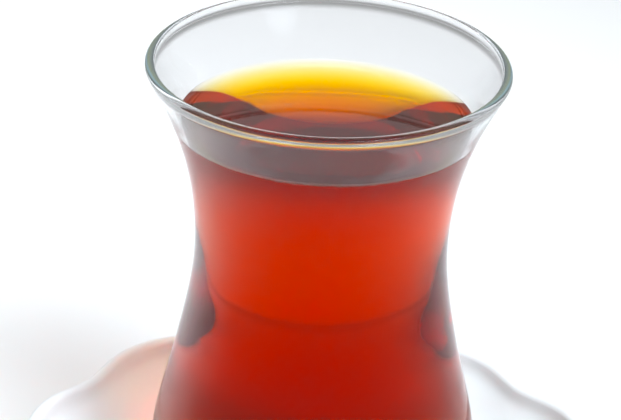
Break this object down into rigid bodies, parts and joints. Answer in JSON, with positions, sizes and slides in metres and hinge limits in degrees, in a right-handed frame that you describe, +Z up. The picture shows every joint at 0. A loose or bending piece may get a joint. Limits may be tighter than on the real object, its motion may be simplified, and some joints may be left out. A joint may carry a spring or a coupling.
{
  "type": "turkish tea glass",
  "caption": "Waisted clear tea glass filled with black tea, standing on a small white porcelain saucer with a scalloped rim.",
  "frame": {"origin": "on the table, at the middle of the object's box, under the axis of the glass", "axes": "+Z up along the axis of the glass, +X to the right as seen from the front, which is -Y"},
  "size_m": [0.1014, 0.1032, 0.0942],
  "materials": {
    "glass": "clear polished soda-lime glass",
    "tea": "clear red-brown black tea",
    "porcelain": "white glazed porcelain"
  },
  "bodies": {
    "root": {"glass": "glass", "tea": "tea", "saucer": "porcelain"}
  },
  "joints": []
}
